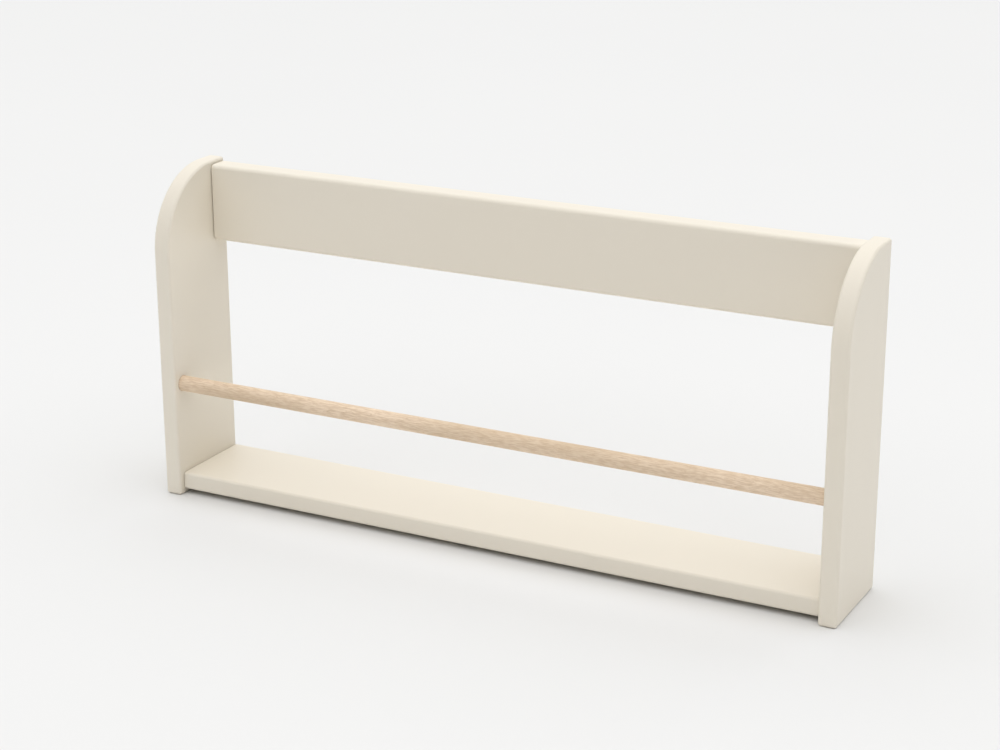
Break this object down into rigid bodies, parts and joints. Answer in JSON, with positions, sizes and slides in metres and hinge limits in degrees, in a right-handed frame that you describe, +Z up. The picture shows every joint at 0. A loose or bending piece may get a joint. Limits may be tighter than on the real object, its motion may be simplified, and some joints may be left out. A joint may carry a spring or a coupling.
{
  "type": "bookshelf",
  "caption": "Low bookshelf for a wall or table top: painted side panels with a quarter-round front corner carry a shelf, a back rail and a wooden bar that keeps the books in.",
  "frame": {"origin": "on the ground under the middle of the rack", "axes": "+X along the rack's width to the right, +Y from the front to the back, +Z up"},
  "size_m": [0.73, 0.104, 0.338],
  "materials": {
    "cream_paint": "satin cream paint on board",
    "natural_oak": "pale oak with a matt clear finish",
    "beech": "raw beech",
    "zinc_plated_steel": "bright zinc plating",
    "zinc_alloy": "die-cast zinc alloy, dull grey"
  },
  "bodies": {
    "root": {"left_side_panel": "cream_paint", "right_side_panel": "cream_paint", "shelf": "cream_paint", "back_rail": "cream_paint", "front_bar": "natural_oak", "shelf_left_front_pin": "beech", "shelf_left_rear_pin": "beech", "shelf_right_front_pin": "beech", "shelf_right_rear_pin": "beech", "rail_left_lower_pin": "beech", "rail_left_upper_pin": "beech", "rail_right_lower_pin": "beech", "rail_right_upper_pin": "beech", "shelf_left_cam_bolt": "zinc_plated_steel", "shelf_right_cam_bolt": "zinc_plated_steel", "rail_left_cam_bolt": "zinc_plated_steel", "rail_right_cam_bolt": "zinc_plated_steel", "shelf_left_cam": "zinc_alloy", "shelf_right_cam": "zinc_alloy", "rail_left_cam": "zinc_alloy", "rail_right_cam": "zinc_alloy"}
  },
  "joints": []
}
